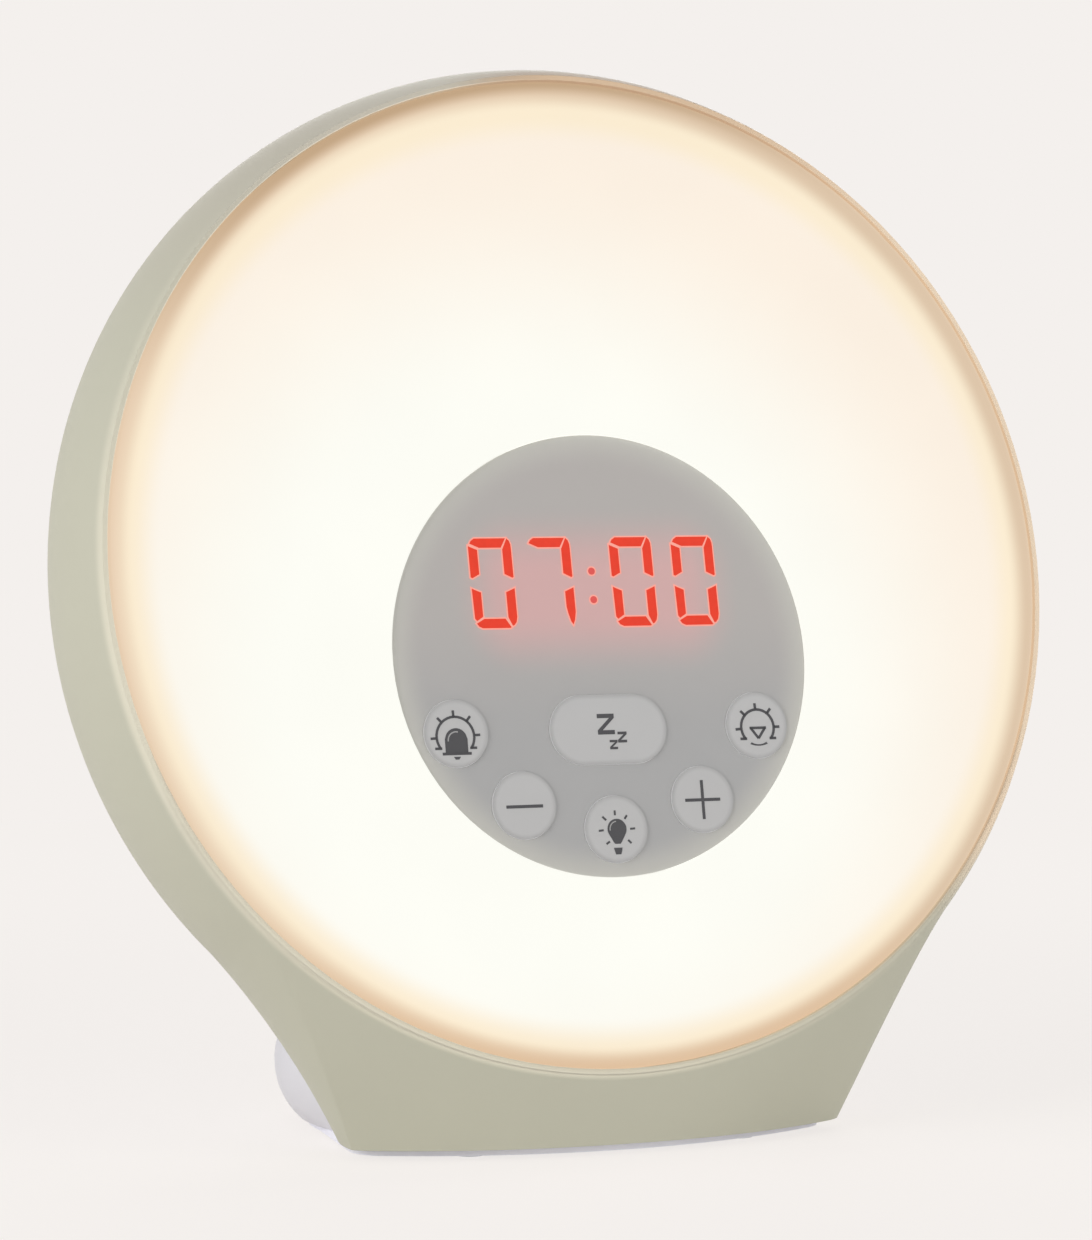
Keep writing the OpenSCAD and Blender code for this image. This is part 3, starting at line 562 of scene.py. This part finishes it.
def mesh_object(name, mesh, material):
    """A new object made from a bmesh, which is freed."""
    data = bpy.data.meshes.new(name)
    mesh.to_mesh(data)
    mesh.free()
    data.materials.append(material)
    made = bpy.data.objects.new(name, data)
    link(made)
    return made


# ---------- flat marks: outlines in millimetres, given a little thickness ----------

def arc(r, start, end, middle=(0, 0), count=24):
    turns = [radians(start + (end - start) * i / count) for i in range(count + 1)]
    return [(middle[0] + r * cos(t), middle[1] + r * sin(t)) for t in turns]


def circle(r, middle):
    return arc(r, 0, 360, middle, 20)[:-1]


def arc_band(r, width, start, end, middle=(0, 0)):
    """A stroke along an arc."""
    return arc(r + width / 2, start, end, middle) + arc(r - width / 2, end, start, middle)


def stroke(a, b, width):
    """A straight stroke from one point to another."""
    along = (Vector(b) - Vector(a)).normalized() * width / 2
    side = Vector((-along.y, along.x))
    return [tuple(Vector(p) + s * side) for p, s in ((a, 1), (a, -1), (b, -1), (b, 1))]


def ray(angle, inner, outer, width, middle=(0, 0)):
    t = radians(angle)
    ends = [(middle[0] + r * cos(t), middle[1] + r * sin(t)) for r in (inner, outer)]
    return stroke(*ends, width)


def letter_z(width, height, weight, middle):
    """A sleeping-sound letter: two level bars and the slanting one between them."""
    x, z = middle
    w, h, slant = width / 2, height / 2, weight * 1.25
    return [(x + px, z + pz) for px, pz in (
        (-w, h), (w, h), (w, h - weight), (-w + slant, -h + weight), (w, -h + weight), (w, -h),
        (-w, -h), (-w, -h + weight), (w - slant, h - weight), (-w, h - weight))]


def plate(name, outlines, matrix, body, ink, lift=0.0):
    """Flat marks on a front face, each outline a thin plate that stands just proud of it."""
    mesh = bmesh.new()
    for outline in outlines:
        front = [mesh.verts.new((x, -lift - MARK_THICKNESS, z)) for x, z in outline]
        back = [mesh.verts.new((x, 0.0, z)) for x, z in outline]
        mesh.faces.new(front)
        mesh.faces.new(reversed(back))
        for i in range(len(outline)):
            j = (i + 1) % len(outline)
            mesh.faces.new((front[i], back[i], back[j], front[j]))
    bmesh.ops.recalc_face_normals(mesh, faces=mesh.faces)
    mesh.transform(matrix)
    piece = mesh_object(name, mesh, ink)
    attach(piece, body)


# ---------- digits ----------

def grown(outline, by):
    """An outline moved outwards by a distance, square to each of its sides."""
    count = len(outline)
    points = [Vector(p) for p in outline]
    outwards = 1 if sum(points[i - 1].cross(points[i]) for i in range(count)) > 0 else -1
    moved = []
    for i in range(count):
        into = (points[i] - points[i - 1]).normalized()
        onward = (points[(i + 1) % count] - points[i]).normalized()
        a, b = (Vector((side.y, -side.x)) * outwards for side in (into, onward))
        moved.append(tuple(points[i] + (a + b) * by / max(0.5, 1 + a.dot(b))))
    return moved


def digit_bars(seven):
    """Bars of a 0 or a 7 round the digit's middle; where two meet, one runs on past the other."""
    h, e, t = DIGIT_WIDTH / 2, DIGIT_HEIGHT / 2, BAR
    near, far = WAIST
    top = [(-h + 0.3, e - 0.85), (-h + 0.55, e - 0.4), (-h + 1.15, e),
           (h - 0.87, e), (h - 1.77, e - t), (-h + 1.9, e - t)]
    top_right = [(h - 0.65, e - 0.05), (h - 0.25, e - 0.4), (h - 0.04, e - 1), (h, e - 1.8),
                 (h, near + 0.15), (h - 0.2, near), (h - t, far), (h - t, e - 1.85)]
    if seven:
        foot = [(h, -near), (h, -e + 2.5), (h - 0.25, -e + 1.2), (h - 0.6, -e + 0.4),
                (h - 0.95, -e + 0.9), (h - 1.35, -e + 2.3), (h - t, -e + 3.4), (h - t, -far)]
        return [top, top_right, foot]
    top_left = [(-h, e - 1.25), (-h + t, e - 1.9), (-h + t, far), (-h + 0.3, near), (-h, near + 0.15)]
    low_left = [(-h, -near), (-h + t, -far), (-h + t, -e + 1.9), (-h + 0.45, -e + 1.2),
                (-h + 0.1, -e + 1.6)]
    low_right = [(h, -near), (h, -e + 1.8), (h - 0.2, -e + 0.95), (h - 0.6, -e + 0.45),
                 (h - 0.9, -e + 0.35), (h - t, -e + t + 0.2), (h - t, -far)]
    low = [(-h + 0.35, -e + 0.8), (-h + 0.7, -e + 0.3), (-h + 1.35, -e), (h - 1.35, -e),
           (h - 1.15, -e + 0.12), (h - t - 0.55, -e + t), (-h + 1.7, -e + t)]
    return [top, top_right, top_left, low_left, low_right, low]


def time_outlines(grow=0.0):
    """The time 07:00 in seven-segment bars."""
    made = []
    for index, x in enumerate(DIGIT_CENTRES):
        for bar in digit_bars(seven=index == 1):
            placed = [(x + px + DIGIT_LEAN * pz, DIGIT_MIDDLE_Z + pz) for px, pz in bar]
            made.append(grown(placed, grow) if grow else placed)
    return made


def colon_outlines(grow=0.0):
    return [circle(COLON_RADIUS + grow, place) for place in COLON]


def make_digits():
    on_panel = face_matrix()
    on_panel.translation += INTO * (front_middle("control_panel") - FACE_MIDDLE).dot(INTO)
    digit_ink = MATERIALS["display_red"]
    for name, outlines, ink, lift in (
            ("time_halo", time_outlines(HALO) + colon_outlines(HALO), HALO_INK, 0.0),
            ("time_digits", time_outlines(), digit_ink, OVER_PRINT),
            ("time_colon", colon_outlines(), COLON_INK, OVER_PRINT)):
        plate(name, outlines, on_panel, "housing", ink, lift)


# ---------- printed symbols ----------

def sun(r, middle, end, line, rays):
    """Half-risen sun: a round line with short rays, open at the bottom, and a level tick at each end."""
    shapes = [arc_band(r, line, -end, 180 + end, middle)]
    shapes += [ray(angle, r, r + 1.05, line, middle) for angle in rays]
    reach, drop = r * cos(radians(end)), r * sin(radians(end))
    for side in (-1, 1):
        x, z = middle[0] + side * (reach + 0.35), middle[1] - drop
        shapes.append(stroke((x - 0.6, z), (x + 0.6, z), line))
    return shapes


def alarm_symbol():
    """A bell in front of a half-risen sun: dome, rim and clapper."""
    x = -0.1
    dome = [(x - 1.95, -3.2), (x - 1.95, -0.9)] + arc(1.9, 170, 10, (x, -1.05), 16)
    dome += [(x + 1.95, -0.9), (x + 1.95, -3.2)]
    rim = stroke((x - 2.5, -3.3), (x + 2.5, -3.3), 0.45)
    clapper = [(x - 0.6, -3.8), (x + 0.6, -3.8), (x + 0.3, -4.25), (x - 0.3, -4.25)]
    return sun(3.25, (-0.2, -0.55), 35, 0.42, (3, 50, 92, 133, 183)) + [dome, rim, clapper]


def sunset_symbol():
    """A half-risen sun with an arrowhead that points down, over a shallow curve."""
    x, top, tip, line = 0.15, -0.45, -2.2, 0.44
    arrow = [stroke((x - 1.5, top), (x + 1.5, top), line),
             stroke((x - 1.3, top), (x, tip), line), stroke((x + 1.3, top), (x, tip), line)]
    curve = arc(4.1, 247, 293, (x, 0.65), 12) + arc(2.6, 307, 233, (x, -0.6), 12)[1:-1]
    return sun(2.97, (0.1, -0.35), 39, 0.45, (0, 50, 93, 136, 184)) + arrow + [curve]


def light_symbol():
    """A bulb with its cap and seven rays."""
    bulb = arc(1.68, -32, 212, (0.08, 0), 26) + [(-0.62, -2.2), (-0.4, -2.42), (0.5, -2.42), (0.72, -2.2)]
    cap = [(-0.72, -3.05), (0.8, -3.05), (0.72, -3.45), (0.5, -4.15), (-0.42, -4.15), (-0.62, -3.45)]
    rays = (((-0.1, 2.25), (-0.1, 3.05)), ((-1.72, 1.5), (-2.35, 2.1)), ((1.55, 1.6), (2.0, 2.2)),
            ((-2.3, -0.12), (-3.15, -0.2)), ((2.4, -0.05), (3.3, 0)), ((-1.36, -2.0), (-1.98, -2.4)),
            ((1.9, -1.85), (2.45, -2.4)))
    return [bulb, cap] + [stroke(start, end, 0.34) for start, end in rays]


def snooze_symbol():
    return [letter_z(3.0, 3.4, 0.7, (-0.45, 0.85)), letter_z(1.6, 1.8, 0.45, (2.3, -1.35)),
            letter_z(1.4, 1.55, 0.4, (0.7, -2.55))]


SYMBOLS = {
    "alarm_key": alarm_symbol(),
    "sunset_key": sunset_symbol(),
    "light_key": light_symbol(),
    "snooze_key": snooze_symbol(),
    "minus_key": [stroke((-3.2, -0.2), (3.2, -0.2), 0.52)],
    "plus_key": [stroke((-3.15, -0.1), (3.15, -0.1), 0.52), stroke((0, 0.16), (0, 3.15), 0.52),
                 stroke((0, -0.36), (0, -3.3), 0.52)],
}
SHINES = {                     # curved lights on the bell and the bulb
    "alarm_key": [arc_band(1.4, 0.2, 75, 185, (-0.1, -1.15))],
    "light_key": [arc_band(1.25, 0.17, 95, 190, (0.08, 0))],
}


def make_symbols():
    for node, outlines in SYMBOLS.items():
        name = node.replace("_key", "_symbol")
        plate(name, outlines, face_matrix(node), node, PRINT_INK)
    for node, outlines in SHINES.items():
        name = node.replace("_key", "_shine")
        plate(name, outlines, face_matrix(node), node, SHINE_INK, OVER_PRINT)


# ---------- studio ----------

def make_floor():
    """A pale floor that is seen in the background's own tone, and in its shading beside the clock."""
    mesh = bmesh.new()
    bmesh.ops.create_circle(mesh, cap_ends=True, segments=96, radius=FLOOR_RADIUS)
    g = Graph("floor")
    g.set(base_color=g.vary(BACKGROUND, 0.002, 3), roughness=0.9, specular_ior_level=0.0)
    x, y, _ = g.split(g.coordinates)
    shown = g.product(g.step(g.distance(x, y), *SHADOW_REACH), SHADOW_SHOWN)
    lift = g.math("MULTIPLY_ADD", shown, (FLOOR_LIFT - 1) / SHADOW_SHOWN, 1.0)
    plain = g.emitter("ShaderNodeEmission", BACKGROUND, lift)
    share = g.product(g.seen_directly(), g.math("SUBTRACT", 1.0, shown))
    own = g.tree.nodes["Principled BSDF"].outputs[0]
    g.blend_seen(share, own, plain, "Material Output")
    mesh_object("floor", mesh, g.owner)


def make_world():
    """White light that is strongest at the horizon, with the background's tone where it is seen."""
    g = Graph("studio", "worlds", "Generated")
    bpy.context.scene.world = g.owner
    height = g.step(g.split(g.coordinates)[2], 0.0, 1.0, "LINEAR")
    strength = g.math("MULTIPLY_ADD", height, ZENITH_LIGHT - HORIZON_LIGHT, HORIZON_LIGHT)
    sky = g.emitter("ShaderNodeBackground", (1.0, 1.0, 1.0, 1.0), strength)
    paper = g.emitter("ShaderNodeBackground", BACKGROUND, 1.0)
    g.blend_seen(g.seen_directly(), sky, paper, "World Output")


def make_lamp(name, place, power, size):
    """A round soft lamp that faces the middle of the diffuser."""
    lamp = bpy.data.lights.new(name, "AREA")
    lamp.shape = "DISK"
    lamp.size = size
    lamp.energy = power
    holder = bpy.data.objects.new(name, lamp)
    holder.location = place
    holder.rotation_euler = (FACE_MIDDLE - Vector(place)).to_track_quat("-Z", "Y").to_euler()
    link(holder)


def make_camera():
    data = bpy.data.cameras.new("camera")
    data.lens = LENS
    data.sensor_width = SENSOR
    camera = bpy.data.objects.new("camera", data)
    camera.rotation_euler = (radians(90 - CAMERA_PITCH), 0, -radians(CAMERA_YAW))
    to_rim = camera.rotation_euler.to_matrix() @ Vector((RIM_RIGHT, RIM_ABOVE, -CAMERA_DISTANCE))
    camera.location = FACE_MIDDLE + INTO * RIM_DEPTH - to_rim
    link(camera)
    bpy.context.scene.camera = camera


make_camera()
finish_nodes()
make_digits()
make_symbols()
make_floor()
make_world()
for name, settings in LAMPS.items():
    make_lamp(name, *settings)
bpy.context.scene.view_settings.view_transform = "Standard"
